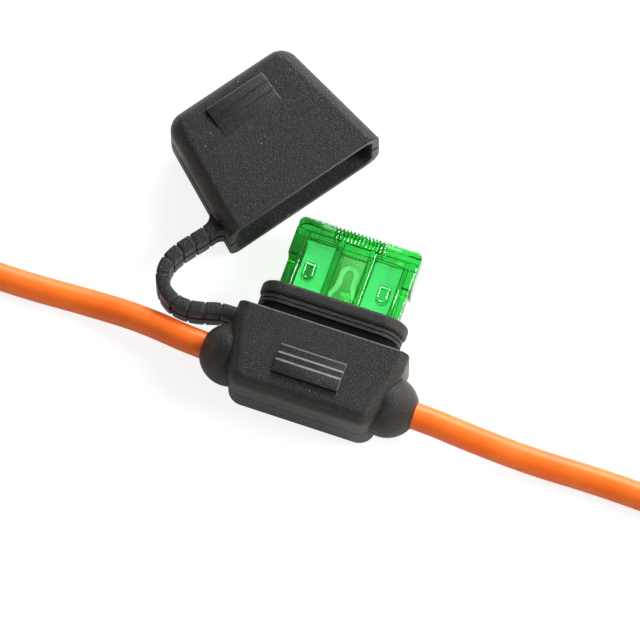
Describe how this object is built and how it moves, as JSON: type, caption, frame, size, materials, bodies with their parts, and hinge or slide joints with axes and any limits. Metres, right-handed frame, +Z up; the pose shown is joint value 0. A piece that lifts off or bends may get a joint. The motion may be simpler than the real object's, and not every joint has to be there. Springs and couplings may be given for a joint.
{
  "type": "inline fuse holder",
  "caption": "Soft moulded inline holder for a regular blade fuse, with a tethered cap and an insulated lead out of each side.",
  "frame": {"origin": "on the flat back of the housing, under the axis of the two leads, midway between their exits", "axes": "+X along the leads to the right, +Y from the leads towards the fuse's head, +Z up from the surface that the back lies on, towards the grip pad"},
  "size_m": [0.2042, 0.06, 0.0116],
  "materials": {
    "black_moulding": "fine-grained soft PVC",
    "green_clear": "clear green, glossy",
    "fuse_metal": "tin-plated zinc sheet",
    "terminal_metal": "tin-plated brass strip",
    "orange_insulation": "smooth satin PVC",
    "copper_strands": "bare stranded copper"
  },
  "bodies": {
    "holder": {"housing": "black_moulding", "fuse_body": "green_clear", "fuse_element": "fuse_metal", "left_terminal": "terminal_metal", "right_terminal": "terminal_metal", "left_insulation": "orange_insulation", "right_insulation": "orange_insulation", "left_conductor": "copper_strands", "right_conductor": "copper_strands"},
    "tether": {"tether_strap": "black_moulding"},
    "cap": {"cap": "black_moulding"}
  },
  "joints": [
    {"name": "cap_swing", "type": "hinge", "parent": "holder", "child": "tether", "pos_m": [-0.0172, 0.01126, 0.0055], "axis": [0, 0, 1], "range_deg": [-54.8, 50], "deforming": ["tether_strap"]},
    {"name": "cap_press", "type": "slide", "parent": "tether", "child": "cap", "axis": [0.8171, -0.5764, 0], "range_m": [0, 0.0076], "deforming": ["tether_strap"]}
  ]
}
